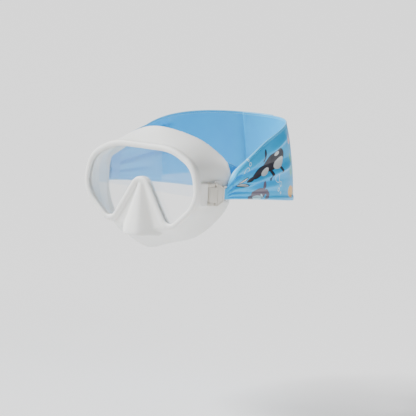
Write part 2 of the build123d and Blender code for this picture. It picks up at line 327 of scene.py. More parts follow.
# %% Copies of frame pieces
def only(piece):
    bpy.ops.object.select_all(action="DESELECT")
    piece.select_set(True)
    bpy.context.view_layer.objects.active = piece


def in_edit_mode(piece, *steps):
    """Select the whole piece in edit mode and run each step on it."""
    only(piece)
    bpy.ops.object.mode_set(mode="EDIT")
    bpy.ops.mesh.select_all(action="SELECT")
    for step in steps:
        step()
    bpy.ops.object.mode_set(mode="OBJECT")


def merge_doubles():
    bpy.ops.mesh.remove_doubles(threshold=0.000001)


def copy_of(node, name):
    piece = bpy.data.objects.new(name, nodes[node].data.copy())
    bpy.context.scene.collection.objects.link(piece)
    piece.data.materials.clear()
    in_edit_mode(piece, merge_doubles)
    return piece


def modify(piece, kind, **settings):
    made = piece.modifiers.new(kind.lower(), kind)
    for key, value in settings.items():
        setattr(made, key, value)
    only(piece)
    bpy.ops.object.modifier_apply(modifier=made.name)


def dress(piece, slot, body, *stands_for):
    piece.data.materials.clear()
    piece.data.materials.append(MATERIALS[slot])
    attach(piece, body)
    if stands_for:
        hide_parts(*stands_for)
    print(piece.name, len(piece.data.polygons), "faces")


# %% [markdown]
# The skirt is laid out the way its mould is: a smooth ring of lines runs from the rim of the pane
# back to the face, and each line flares by its own amount. It could be a scaled and bent cylinder,
# but the brow, the temples and the cheeks flare too differently for that. A closed spline through
# a dozen lines on each side gives as many in between as the surface needs, and never a corner.

# %% Skirt lines
# rim x, rim z, seal x, seal z, how late the wall flares, and how far the brow's edge is set back
HALF_LINES = [
    (0.0, 42.6, 0.0, 61.2, 1.0, 10.0),
    (32.0, 42.0, 32.5, 55.4, 1.0, 14.0),
    (52.0, 36.0, 52.0, 46.8, 1.2, 14.0),
    (63.5, 26.5, 68.0, 36.6, 1.6, 9.0),
    (69.0, 13.0, 78.8, 26.0, 2.3, 1.5),
    (69.9, -1.0, 82.4, 6.0, 3.2, 0.0),
    (67.0, -12.5, 79.8, -12.5, 2.9, 0.0),
    (60.0, -22.0, 72.6, -26.5, 2.1, 0.0),
    (50.5, -30.5, 61.0, -40.0, 1.6, 0.0),
    (39.0, -37.6, 45.5, -50.0, 1.3, 0.0),
    (22.0, -39.6, 24.5, -56.2, 1.1, 0.0),
    (0.0, -39.6, 0.0, -62.6, 1.0, 0.0),
]
FRONT_Y, FACE_FRONT, FACE_RADIUS = -30.0, -12.5, 142.0
AROUND, SPLINE_ROUNDS = 360, 40


def closed_spline(points, count):
    """Smooth closed curve through points of any dimension, evenly divided between them."""
    size, wide = len(points), len(points[0])
    control = [list(p) for p in points]
    for _ in range(SPLINE_ROUNDS):
        for i in range(size):
            for k in range(wide):
                seen = (control[i - 1][k] + 4.0 * control[i][k] + control[(i + 1) % size][k]) / 6.0
                control[i][k] += points[i][k] - seen
    curve = []
    for n in range(count):
        place = n * size / count
        i, t = int(place), place - int(place)
        weights = ((1 - t) ** 3, 3 * t**3 - 6 * t**2 + 4, -3 * t**3 + 3 * t**2 + 3 * t + 1, t**3)
        four = [control[(i + k - 1) % size] for k in range(4)]
        curve.append([sum(w * c[k] for w, c in zip(weights, four)) / 6.0 for k in range(wide)])
    return curve


def face_y(x):
    return FACE_FRONT + FACE_RADIUS - math.sqrt(FACE_RADIUS**2 - x * x)


mirrored_half = [(-a, b, -c, d, e, f) for a, b, c, d, e, f in reversed(HALF_LINES[1:-1])]
skirt_lines = closed_spline(HALF_LINES + mirrored_half, AROUND)
print(len(skirt_lines), "lines round the skirt")


# %% [markdown]
# The soft pieces are laid out as rows of points that each close on themselves. A helper turns the
# rows into faces, and Blender's own operators then turn the faces outwards and close any open end.

# %% Helpers for rings of points
def outwards():
    bpy.ops.mesh.normals_make_consistent(inside=False)


def close_ends():
    bpy.ops.mesh.fill_holes(sides=0)


def grid_piece(name, rows, closed_rows=False):
    """A surface from rows of points that each close on themselves."""
    count = len(rows[0])
    faces = []
    for i in range(len(rows) - (0 if closed_rows else 1)):
        for j in range(count):
            a, b = i * count + j, i * count + (j + 1) % count
            step = ((i + 1) % len(rows)) * count
            c, d = step + (j + 1) % count, step + j
            faces.append((a, b, c, d))
    mesh = bpy.data.meshes.new(name)
    mesh.from_pydata([Vector(p) * MM for row in rows for p in row], [], faces)
    piece = bpy.data.objects.new(name, mesh)
    bpy.context.scene.collection.objects.link(piece)
    in_edit_mode(piece, outwards)
    return piece


# %% [markdown]
# The wall is one closed band: the outer face runs back from the rim to the thin edge, turns in over
# the seal that lies on the face, and returns along the inside two millimetres behind. A Solidify
# modifier could give the thickness, but not the seal's thin lip, so the rows follow the whole loop.
# Each row goes all the way round the mask.

# %% Skirt wall and seal
WALL, SEAL_WIDTH, SEAL_THICK = 2.0, 11.0, 1.5


def inward(ring, k, distance):
    """Point k of a ring of (x, z), moved towards the inside of the ring."""
    before, after = ring[k - 3], ring[(k + 3) % len(ring)]
    run_x, run_z = after[0] - before[0], after[1] - before[1]
    length = math.hypot(run_x, run_z)
    return ring[k][0] + distance * run_z / length, ring[k][1] - distance * run_x / length


def wall_ring(share, inset):
    """Ring of the wall at a share of the way back, moved inwards by inset."""
    flat = [(a + (c - a) * share**e, b + (d - b) * share**e) for a, b, c, d, e, _ in skirt_lines]
    ring = []
    for k, line in enumerate(skirt_lines):
        x, z = inward(flat, k, inset) if inset else flat[k]
        ring.append((x, FRONT_Y + share * (face_y(line[2]) + line[5] - FRONT_Y), z))
    return ring


def seal_ring(inset, behind):
    """Ring on the face side of the seal, inset from the edge and that far in front of the face."""
    flat = [(line[2], line[3]) for line in skirt_lines]
    ring = []
    for k in range(AROUND):
        x, z = inward(flat, k, inset) if inset else flat[k]
        ring.append((x, face_y(x) + skirt_lines[k][5] - behind, z))
    return ring


shares = [i / 22.0 for i in range(23)]
outside = [wall_ring(s, 0.0) for s in shares[:-2]]
edge_turn = [seal_ring(*step) for step in ((1.2, 1.75), (0.6, 1.2), (0.55, 0.5), (1.1, 0.05), (2.0, 0.0))]
seal_face = [seal_ring(w, 0.0) for w in (3.0, 5.0, 7.0, 9.0, 10.2)]
seal_lip = [seal_ring(SEAL_WIDTH - less, behind) for less, behind in ((0.1, 0.25), (0.0, 0.7), (0.3, 1.2))]
seal_back = [seal_ring(w, SEAL_THICK) for w in (10.0, 8.0, 6.0)]
inside = [wall_ring(s, WALL) for s in reversed(shares[:-3])]
wall_loop = outside + edge_turn + seal_face + seal_lip + seal_back + inside
wall = grid_piece("skirt_wall", wall_loop, closed_rows=True)
print("wall", len(wall_loop), "rows of", AROUND)

# %% [markdown]
# The pane sits in a raised rounded bead. Its line is a polygon of long straight runs with a large
# arc at each corner, notched over the nose. A curve with a bevel object could carry the bead, but
# it would twist and pinch in the tight turn of the notch, so one profile is swept along the line
# with its foot always square to the pane.

# %% Bead and front web
# corner of the opening: x, z, radius
LENS_CORNERS = [
    (36.0, 39.0, 52.0), (62.5, 25.0, 24.0), (68.6, -2.0, 25.0), (60.5, -15.5, 26.0), (37.2, -36.0, 7.6),
]
NOTCH_TOP = (0.0, 22.6, 13.0)


def rounded_outline(corners, arc_steps=10):
    """Points along a closed polygon whose corners (x, z, radius) are arcs."""
    points = []
    for i, (x, z, radius) in enumerate(corners):
        here = Vector((x, z))
        to_last = (Vector(corners[i - 1][:2]) - here).normalized()
        to_next = (Vector(corners[(i + 1) % len(corners)][:2]) - here).normalized()
        half = to_last.angle(to_next) / 2.0
        centre = here + (to_last + to_next).normalized() * (radius / math.sin(half))
        start, end = here + to_last * (radius / math.tan(half)), here + to_next * (radius / math.tan(half))
        a, b = start - centre, end - centre
        sweep = a.angle_signed(b)
        for step in range(arc_steps + 1):
            turn = -sweep * step / arc_steps
            c, s = math.cos(turn), math.sin(turn)
            points.append(centre + Vector((a.x * c - a.y * s, a.x * s + a.y * c)))
    return points


def evenly(points, count):
    """The closed line through points, divided into equal steps."""
    lengths = [(points[(i + 1) % len(points)] - p).length for i, p in enumerate(points)]
    total, made, i, passed = sum(lengths), [], 0, 0.0
    for n in range(count):
        target = total * n / count
        while passed + lengths[i] < target:
            passed += lengths[i]
            i += 1
        made.append(points[i].lerp(points[(i + 1) % len(points)], (target - passed) / max(lengths[i], 1e-9)))
    return made


corners = LENS_CORNERS + [NOTCH_TOP] + [(-x, z, r) for x, z, r in reversed(LENS_CORNERS)]
opening = evenly(rounded_outline(corners), 480)
# bead profile: distance outwards from the opening, and depth in front of the skirt's front plane
BEAD = [
    (0.0, -5.4), (0.0, 0.6), (0.3, 1.9), (1.3, 2.7), (3.0, 2.9),
    (4.6, 2.5), (5.8, 1.6), (6.4, 0.3), (6.4, -1.6), (5.6, -5.4),
]


def beside(line, k, distance):
    """Point k of a closed line, moved outwards."""
    run = line[(k + 2) % len(line)] - line[k - 2]
    away = Vector((-run.y, run.x)).normalized()
    return line[k] + away * distance


def bead_row(out, proud):
    places = [beside(opening, k, out) for k in range(len(opening))]
    return [(place.x, FRONT_Y - proud, place.y) for place in places]


bead = grid_piece("bead", [bead_row(*corner) for corner in BEAD], closed_rows=True)
print("bead", len(bead.data.polygons), "faces")

# %% [markdown]
# Three more shapes complete the skirt. The first is a flat web that joins the bead to the wall. It
# only has to fill the gap, so it is a plug between two rings, and the remesh blends its edges away.

# %% Joining and cutting
def joined(name, *pieces):
    bpy.ops.object.select_all(action="DESELECT")
    for piece in pieces:
        piece.select_set(True)
    bpy.context.view_layer.objects.active = pieces[0]
    bpy.ops.object.join()
    pieces[0].name = name
    return pieces[0]


def plug(name, ring_low, ring_high):
    """Closed solid between two rings with the same number of points."""
    piece = grid_piece(name, [ring_low, ring_high])
    in_edit_mode(piece, close_ends, outwards)
    return piece


def cut(piece, cutter):
    modify(piece, "BOOLEAN", operation="DIFFERENCE", solver="EXACT", object=cutter)
    bpy.data.objects.remove(cutter)


rim_flat = [(line[0], line[1]) for line in skirt_lines]
rim_ring = [inward(rim_flat, k, 0.3) for k in range(AROUND)]
web_front, web_back = [[(x, FRONT_Y + depth, z) for x, z in rim_ring] for depth in (-0.2, 3.0)]
web = plug("web", web_front, web_back)

# %% [markdown]
# The wearer pinches the nose pocket to clear their ears, so it is a thin hollow shell that stands
# out of the pane. It is narrow and rounded at the bridge of the nose and wide and blunt at the tip,
# so each of its rings is a rounded box of its own size. An extruded cube could start it, but would
# not end in such even rounds. The same rings, a little smaller, later cut the hollow.

# %% Nose pocket
NOSE_TOP, NOSE_BOTTOM = 9.0, -48.0
NOSE_BRIDGE_Y, NOSE_REACH = -31.5, 12.4
NOSE_BACK, NOSE_HOLLOW_BACK = -24.0, -13.0
NOSE_STEPS, NOSE_SQUARENESS = 63, 0.62


def nose_ring(share, inset):
    """Ring of the nose pocket at a share of the way down, as (x, y, z)."""
    top, bottom = NOSE_TOP - inset * 2.5, NOSE_BOTTOM + inset
    front_half, base_half = 2.2 + 12.0 * share**1.15 - inset * 0.7, 5.0 + 22.0 * share - inset
    front_y = NOSE_BRIDGE_Y - NOSE_REACH * share**1.1 + inset
    base_y = NOSE_HOLLOW_BACK if inset else NOSE_BACK
    ring = []
    for step in range(NOSE_STEPS + 1):
        turn = math.pi * step / NOSE_STEPS
        c, s = math.cos(turn), math.sin(turn)
        wide = base_half + (front_half - base_half) * s**0.55
        x = wide * math.copysign(abs(c) ** NOSE_SQUARENESS, c)
        ring.append((x, base_y + (front_y - base_y) * s**NOSE_SQUARENESS, top + (bottom - top) * share))
    return ring


def nose_solid(name, inset):
    """Closed solid through the rings, whose last three shrink to round the bottom edge."""
    rings = [nose_ring(s, inset) for s in (0.0, 0.12, 0.25, 0.4, 0.55, 0.7, 0.82, 0.91)]
    for share, shrink in ((0.955, 0.4), (0.985, 1.3), (1.0, 2.8)):
        narrow = 1.0 - shrink / 16.0
        ring = nose_ring(share, inset)
        rings.append([(x * narrow, y + (shrink * 0.7 if y < FRONT_Y else 0.0), z) for x, y, z in ring])
    piece = grid_piece(name, rings)
    in_edit_mode(piece, close_ends, outwards)
    return piece


# %% [markdown]
# At each side the wall thickens into a pad, and the buckle's anchor is moulded into it. A cube with
# bevelled edges has the right shape at once. A cylinder is taken out of its back end, because the
# buckle's barrel turns there.

# %% Pads for the buckle anchors
LUG_TURN, LUG_LENGTH, LUG_HALF, LUG_DEEP = math.radians(15.0), 12.2, 12.1, 7.0
LUG_FRONT, LUG_ROUND = Vector((72.9, -25.1)), 1.1
PIN, BARREL_ROOM = (74.8, -12.4), 4.2


def round_edges():
    bpy.ops.mesh.bevel(offset=LUG_ROUND * MM, segments=3, affect="EDGES")


def lug_pad(side):
    """Thick pad that the buckle's anchor is moulded into, hollowed to clear the buckle's barrel."""
    across = Vector((math.cos(LUG_TURN), -math.sin(LUG_TURN)))
    along = Vector((math.sin(LUG_TURN), math.cos(LUG_TURN)))
    middle = LUG_FRONT - across * (LUG_DEEP / 2.0) + along * (LUG_LENGTH / 2.0)
    bpy.ops.object.select_all(action="DESELECT")
    bpy.ops.mesh.primitive_cube_add(size=1.0, location=(0.0, 0.0, 0.0))
    pad = bpy.context.object
    for vertex in pad.data.vertices:
        flat = middle + across * (vertex.co.x * LUG_DEEP) + along * (vertex.co.y * LUG_LENGTH)
        vertex.co = Vector((side * flat.x, flat.y, vertex.co.z * 2.0 * LUG_HALF)) * MM
    in_edit_mode(pad, outwards, round_edges)
    bpy.ops.object.select_all(action="DESELECT")
    place = (side * PIN[0] * MM, PIN[1] * MM, 0.0)
    bpy.ops.mesh.primitive_cylinder_add(vertices=64, radius=BARREL_ROOM * MM, depth=0.04, location=place)
    barrel = bpy.context.object
    bpy.ops.object.transform_apply(location=True)
    cut(pad, barrel)
    return pad


# %% [markdown]
# The silicone is moulded in one piece, so its parts run into each other without a seam. The shapes are
# joined and remeshed into small even faces, and the surface is relaxed until every corner is as
# round as a moulded one. Boolean unions would keep sharp seams. The nose pocket is hollowed before
# the bead is added, and the pane and the anchors cut their own seats last, so those stay crisp.

# %% Skirt
VOXEL, RELAX_ROUNDS, HOLE_REACH = 0.00095, 9, 8.0
hole_front, hole_back = [[(p.x, FRONT_Y + y, p.y) for p in opening] for y in (-HOLE_REACH, HOLE_REACH)]
front_hole = plug("front_hole", hole_front, hole_back)
skirt = joined("soft_skirt", web, nose_solid("nose_outside", 0.0))
modify(skirt, "REMESH", mode="VOXEL", voxel_size=VOXEL, adaptivity=0.0)
cut(skirt, nose_solid("nose_inside", 2.0))
cut(skirt, front_hole)
skirt = joined("soft_skirt", skirt, wall, bead, lug_pad(1.0), lug_pad(-1.0))
modify(skirt, "REMESH", mode="VOXEL", voxel_size=VOXEL, adaptivity=0.0)
modify(skirt, "SMOOTH", factor=0.5, iterations=RELAX_ROUNDS)
cut(skirt, copy_of("lens", "glass_cutter"))
for side in ("left", "right"):
    cut(skirt, copy_of(f"anchor_{side}", "anchor_cutter"))
only(skirt)
bpy.ops.object.shade_smooth()
dress(skirt, "skirt_silicone", "mask", "skirt")

# %% [markdown]
# The pane, the hinge pins and the bars need no new shape: a flat pane and round steel already look
# right as the frame has them, so they only get their finish.

# %% Pane, pins and bars
def finish_node(node, slot):
    nodes[node].data.materials.clear()
    nodes[node].data.materials.append(MATERIALS[slot])


finish_node("lens", "lens_glass")
for side in ("left", "right"):
    finish_node(f"hinge_pin_{side}", "pin_steel")
    finish_node(f"strap_bar_{side}", "pin_steel")
print("finished the pane, pins and bars")

# %% [markdown]
# A moulded buckle has flat faces and small radii that catch the light. Modelling each piece again
# would only risk its fit, so the copies keep their faces: coplanar triangles are joined up, every
# sharp edge gets a quarter-millimetre bevel, and shading is smooth except over real corners.

# %% Buckles, buttons and tongues
EDGE_ROUND = 0.25


def merge_flat_faces():
    bpy.ops.mesh.dissolve_limited(angle_limit=math.radians(2.0))


def crisp_copy(node, name, slot, body):
    piece = copy_of(node, name)
    in_edit_mode(piece, merge_flat_faces)
    sharp = math.radians(35.0)
    modify(piece, "BEVEL", width=EDGE_ROUND * MM, segments=2, limit_method="ANGLE", angle_limit=sharp)
    only(piece)
    bpy.ops.object.shade_smooth_by_angle(angle=math.radians(40.0))
    dress(piece, slot, body, node)


for side in ("left", "right"):
    crisp_copy(f"anchor_{side}", f"anchor_plate_{side}", "buckle_plastic", "mask")
    crisp_copy(f"buckle_body_{side}", f"buckle_shell_{side}", "buckle_plastic", f"buckle_{side}")
    crisp_copy(f"buckle_cover_{side}", f"buckle_back_{side}", "white_plastic", f"buckle_{side}")
    crisp_copy(f"release_button_{side}", f"push_plate_{side}", "buckle_plastic", f"button_{side}")
    crisp_copy(f"strap_tongue_{side}", f"tongue_{side}", "white_plastic", f"buckle_{side}")

# %% [markdown]
# Under each push plate sits a small coil spring. The frame holds its place as a sleeve, and here
# it is a real coil of wire. A Screw modifier could wind it, but a short curve with a round bevel
# needs no profile and is easy to count in turns.

# %% Button springs
BUCKLE_TURN = math.radians(14.0)
SPRING_ALONG, SPRING_SEAT, SPRING_HIGH, SPRING_PRESSED = 8.3, -1.43, 1.04, 0.24
COIL_RADIUS, WIRE_RADIUS, COIL_TURNS, COIL_STEPS = 1.3, 0.10, 3.0, 95


def in_buckle(side, along, proud, z):
    """Place in the frame of a point given along the pull, away from the head and up."""
    s, c = math.sin(BUCKLE_TURN), math.cos(BUCKLE_TURN)
    x = PIN[0] + along * s + proud * c
    return Vector((side * x, PIN[1] + along * c - proud * s, z)) * MM


def coil_place(sign, share):
    """Place of the wire at a share of its length, a little clear of the seat and the plate."""
    turn, clear = 2.0 * math.pi * COIL_TURNS * share, 0.12
    along, z = SPRING_ALONG + COIL_RADIUS * math.cos(turn), COIL_RADIUS * math.sin(turn)
    return in_buckle(sign, along, SPRING_SEAT + clear + (SPRING_HIGH - 2.0 * clear) * share, z)


for side, sign in (("left", 1.0), ("right", -1.0)):
    wire = bpy.data.curves.new(f"coil_{side}", "CURVE")
    wire.dimensions = "3D"
    wire.bevel_depth = WIRE_RADIUS * MM
    wire.bevel_resolution = 2
    wire.use_fill_caps = True
    line = wire.splines.new("POLY")
    line.points.add(COIL_STEPS)
    for n, point in enumerate(line.points):
        point.co = (*coil_place(sign, n / COIL_STEPS), 1.0)
    coil = bpy.data.objects.new(f"coil_{side}", wire)
    bpy.context.scene.collection.objects.link(coil)
    only(coil)
    bpy.ops.object.convert(target="MESH")
    coil = bpy.context.object
    in_edit_mode(coil, outwards)
    dress(coil, "pin_steel", f"buckle_{side}", f"button_spring_{side}")
    seat = in_buckle(sign, SPRING_ALONG, SPRING_SEAT, 0.0)
    out = (in_buckle(sign, SPRING_ALONG, 1.0, 0.0) - in_buckle(sign, SPRING_ALONG, 0.0, 0.0)).normalized()
    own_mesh(coil)

# %% [markdown]
# The strap is a wide band of thin printed stretch cloth. Each half starts in the slot of its
# buckle, turns round the steel bar there and fans out behind the head. A cloth simulation could
# fold it, but its folds can't be placed, so it is laid out as a sheet: rows follow the pull,
# columns run across it. The pull makes the folds. They are deep where the cloth is gathered and
# run out into the fan, each between two creases that drift apart.

# %% Strap outline
BAR = (79.67, 3.96)
SIDE_X, BACK_Y, DEPTH = 87.0, 72.0, 108.0
LEAN_X, LEAN_Y = 8.5, 18.0
LAP_ANGLE = math.radians(103.0)
FABRIC, TURN_RADIUS = 1.1, 1.75


def band_edges(y):
    share = min(max((y - BAR[1]) / (BACK_Y + DEPTH - BAR[1]), 0.0), 1.0)
    gathered = 14.5 * math.exp(-max(y - BAR[1], 0.0) / 3.0)
    return -5.0 - 17.0 * share**1.4, 67.0 - 47.0 * (1.0 - share) ** 2.2 - gathered


def strap_row(along):
    """Place of a row: below 0 round the bar, 1 where the side ends, 2 at the end of the lap."""
    if along < 0.0:
        angle = math.pi * along
        x, y = BAR[0] + TURN_RADIUS * math.cos(angle), BAR[1] + TURN_RADIUS * math.sin(angle)
        return x, y, 0.0, 0.0, angle
    if along <= 1.0:
        y = BAR[1] + (BACK_Y - BAR[1]) * (0.02 * along + 0.98 * along**1.25)
        share = (y - BAR[1]) / (BACK_Y - BAR[1])
        x = SIDE_X - (SIDE_X - BAR[0] - TURN_RADIUS) * (1.0 - share) ** 4
        return x, y, LEAN_X * share**1.5, 0.0, 0.0
    angle = (along - 1.0) * LAP_ANGLE
    x, y = SIDE_X * math.cos(angle), BACK_Y + DEPTH * math.sin(angle)
    return x, y, LEAN_X * math.cos(angle), LEAN_Y * math.sin(angle), angle


# %% [markdown]
# A fold is a bump in the cloth's height above its smooth course. The broad rolls fill the spaces
# between the creases and die away at their own pace, and a few narrow ridges cross them, as one
# tight thread of cloth does. Each reads as a line of light and shade once the sheet is thick.

# %% Strap folds
# crease: share across the band far out, share at the gather
CREASES = [(0.055, 0.10), (0.14, 0.27), (0.31, 0.50), (0.60, 0.80)]
# roll between two creases: height in mm and the reach over which it dies away
ROLLS = [(1.4, 90.0), (2.6, 44.0), (3.8, 44.0), (4.4, 46.0), (5.6, 70.0)]
# ridge: reach and share at its start, reach and share at its end, height, width as a share
RIDGES = [
    (24.0, 0.36, 118.0, 0.50, 4.0, 0.050), (70.0, 0.80, 112.0, 0.88, 3.0, 0.050),
    (30.0, 0.20, 88.0, 0.24, 1.6, 0.045), (16.0, 0.70, 60.0, 0.80, 1.8, 0.060),
    (34.0, 0.035, 150.0, 0.035, 0.9, 0.020),
]


def smooth(value):
    value = min(max(value, 0.0), 1.0)
    return value * value * (3.0 - 2.0 * value)


def fold_height(reach, across, wide):
    """How far the cloth stands out at a place on the sheet."""
    lines = [0.0] + [far + (near - far) * math.exp(-reach / 26.0) for far, near in CREASES] + [1.0]
    height = 0.0
    for i, (tall, length) in enumerate(ROLLS):
        if lines[i] <= across <= lines[i + 1]:
            t = (across - lines[i]) / (lines[i + 1] - lines[i])
            round_top = (4.0 * t * (1.0 - t)) ** 0.7
            lean = 1.0 + 0.35 * (t - 0.5)
            steepest = 0.95 * (lines[i + 1] - lines[i]) * wide
            height += min(tall * math.exp(-((reach / length) ** 1.4)), steepest) * round_top * lean
    for reach_a, share_a, reach_b, share_b, tall, width in RIDGES:
        t = (reach - reach_a) / (reach_b - reach_a)
        line = share_a + (share_b - share_a) * t
        side = (across - line) / (width * (1.5 if across > line else 0.8))
        fade = smooth((t + 0.12) / 0.3) * smooth((1.1 - t) / 0.35)
        height += tall * fade * math.exp(-side * side)
    return height * smooth(reach / 2.6)


def strap_point(along, across, reach, right_lap):
    """Place of a point of the cloth: its course, plus crown, lap, hem and folds."""
    x, y, lean_x, lean_y, angle = strap_row(along)
    low, high = band_edges(y)
    crown = 2.4 * math.sin(math.pi * across) * smooth(reach / 90.0)
    lift = right_lap * smooth((math.degrees(angle) - 36.0) / 36.0)
    edge = min(across, 1.0 - across) * (high - low)
    hem = 0.35 * math.exp(-(((edge - 0.9) / 0.8) ** 2)) - 0.3 * math.exp(-(((edge - 2.4) / 0.5) ** 2))
    settled = smooth(reach / 14.0)
    out = lift + crown + hem * settled + fold_height(reach, across, high - low)
    x = x - lean_x * across + out * math.cos(angle)
    y = y - lean_y * across + out * math.sin(angle)
    return Vector((x, y, low + (high - low) * across)) * MM


# %% [markdown]
# The sheet keeps two flat maps. One is the cloth as it was cut, in millimetres, so the print and
# the weave stretch with nothing. The other holds the distance to each long edge, for the hem. The
# columns are closer together at the edges, where the hem needs them.

# %% Strap sheets
EDGE_COLUMNS = [0.0, 0.006, 0.012, 0.019, 0.027, 0.035, 0.045, 0.056]
MIDDLE_COLUMNS = [0.068 + 0.864 * j / 78.0 for j in range(79)]
COLUMNS = EDGE_COLUMNS + MIDDLE_COLUMNS + [1.0 - c for c in reversed(EDGE_COLUMNS)]
MAP_SCALE = 0.01
TURN_ROWS, SIDE_AND_BACK_ROWS = 14, 190
GATHERED_EXTRA, GATHER_FADE = 34.0, 25.0


def cloth_sheet(name, rows, mirrored):
    """Sheet from rows of (point, cloth place, hem place), one for each of COLUMNS."""
    mesh = bpy.data.meshes.new(name)
    width, count = len(COLUMNS), len(rows)
    faces = []
    for i in range(count - 1):
        for j in range(width - 1):
            a = i * width + j
            face = (a, a + width, a + width + 1, a + 1)
            faces.append(face[::-1] if mirrored else face)
    flat = [corner for row in rows for corner in row]
    mesh.from_pydata([Vector((-p.x, p.y, p.z)) if mirrored else p for p, _, _ in flat], [], faces)
    for layer_name, part in (("cloth", 1), ("hem", 2)):
        layer = mesh.uv_layers.new(name=layer_name)
        for loop in mesh.loops:
            layer.data[loop.index].uv = [c * MAP_SCALE for c in flat[loop.vertex_index][part]]
    piece = bpy.data.objects.new(name, mesh)
    bpy.context.scene.collection.objects.link(piece)
    return piece


def strap_sheet(name, mirrored, right_lap):
    """The sheet of one half, with its length from the gather, its cut area and its width at the back."""
    steps = [-1.0 + i / TURN_ROWS for i in range(TURN_ROWS)]
    steps += [2.0 * i / SIDE_AND_BACK_ROWS for i in range(SIDE_AND_BACK_ROWS + 1)]
    rows, reach, area, before = [], 0.0, 0.0, None
    for along in steps:
        x, y, lean_x, lean_y, _ = strap_row(along)
        middle = Vector((x - lean_x / 2, y - lean_y / 2, 0.0))
        step = (middle - before).length if before and along > 0.0 else 0.0
        before, reach = middle, reach + step
        low, high = band_edges(y)
        width = high - low + GATHERED_EXTRA * math.exp(-reach / GATHER_FADE)
        area += width * step
        row = []
        for across in COLUMNS:
            point = strap_point(along, across, reach, right_lap)
            row.append((point, (reach, (across - 0.5) * width), (across * width, (1.0 - across) * width)))
        rows.append(row)
    return cloth_sheet(name, rows, mirrored), reach, area, width


# %% [markdown]
# The cloth is a satin knit in a clear blue. The print could be painted by hand, but plain sea
# shapes need only a few soft ellipses each. They are placed on the cloth's own flat map, in
# millimetres, so the folds bend and hide them as they would on real cloth, and repeat along it.

# %% Print
INK, PALE, MIST = (0.030, 0.028, 0.042), (0.66, 0.70, 0.71), (0.50, 0.79, 0.93)
MAUVE, GREEN = (0.165, 0.140, 0.190), (0.16, 0.62, 0.44)
ORANGE, YELLOW = (0.90, 0.42, 0.11), (0.95, 0.76, 0.20)
PINK, INDIGO = (0.86, 0.55, 0.66), (0.20, 0.36, 0.80)
RING_WHITE, HEM_BLUE = (0.72, 0.90, 0.96), (0.42, 0.80, 0.96)
REPEAT, PRINT_START = 132.0, 4.0
STITCH, STITCH_INSET = 2.4, 2.4
# colour, then ellipses: along, across, half length, half width, turn in degrees
PRINT = [
    (INK, [(73, 9, 20, 8.2, 14), (86, 12.5, 10, 7.5, 2), (46, 2.5, 14, 4.0, 14), (30, -1.5, 6, 2.6, 8)]),
    (INK, [
        (57, 17.5, 7, 2.6, 68), (67, -3.5, 8.0, 2.6, -78), (84, -0.5, 6, 2.1, -68),
        (19, -5.5, 9, 2.6, -16), (19, 1.0, 8, 2.2, 12),
    ]),
    (PALE, [
        (83, 5.5, 11, 4.4, 20), (56, 1.0, 8, 2.8, 16), (80, 15.2, 4.8, 2.0, 10),
        (19, -5.4, 7.6, 1.5, -16), (19, 1.0, 6.6, 1.1, 12),
    ]),
    (MAUVE, [
        (46, -21, 13, 6.4, -4), (33, -24, 5, 2.6, 6), (55, -14, 6, 2.4, 50),
        (61, -22, 6, 2.6, -40), (61, -27, 5, 2.0, 20),
    ]),
    (MIST, [(43, -25, 8, 2.2, -4), (52, -24.5, 3.2, 1.3, -48)]),
    (GREEN, [
        (117, 3, 5.2, 7.4, 0), (112.5, -7, 1.2, 6, 16), (116, -8, 1.1, 7, 4),
        (119, -8, 1.1, 7, -6), (122, -7, 1.2, 6, -18),
    ]),
    (ORANGE, [(113, -29, 8.6, 6.4, 0), (123, -29, 3.2, 5.2, 0)]),
    (YELLOW, [
        (108, -29, 1.1, 5.4, 0), (113, -29, 1.0, 6.2, 0), (118, -29, 0.9, 4.6, 0), (124, -32, 2.0, 1.4, 30),
    ]),
    (PINK, [(121, 25, 7.5, 4.6, 30)]),
    (INDIGO, [(124, 29, 5.4, 3.0, 30)]),
]
# bubble ring: along, across, radius
RINGS = [
    (22, 14, 3.2), (27.5, 19.5, 1.7), (27, 24.5, 1.0),
    (80, -10.5, 3.7), (85, -17, 2.2), (82, -22.5, 1.5), (86, -26.5, 0.9),
]


def most_of(fields):
    most = fields[0]
    for field in fields[1:]:
        most = most.max(field)
    return most


def ring_line(f, at, x, y, radius):
    """1 on the thin outline of a bubble."""
    away = (f.from_ellipse(at, x, y, radius, radius * 1.15, 0) - 1.0).abs() * radius
    return 1.0 - away.ramp(0.28, 0.5)


# %% [markdown]
# Real printed cloth is never one flat blue. Its finish has a slow cloud, a paler cut edge, a line of
# stitches along the hem and a fine weave that only bumps. The tapes have a rough pile instead, and
# a little sheen, because their hairs catch the light from the side.

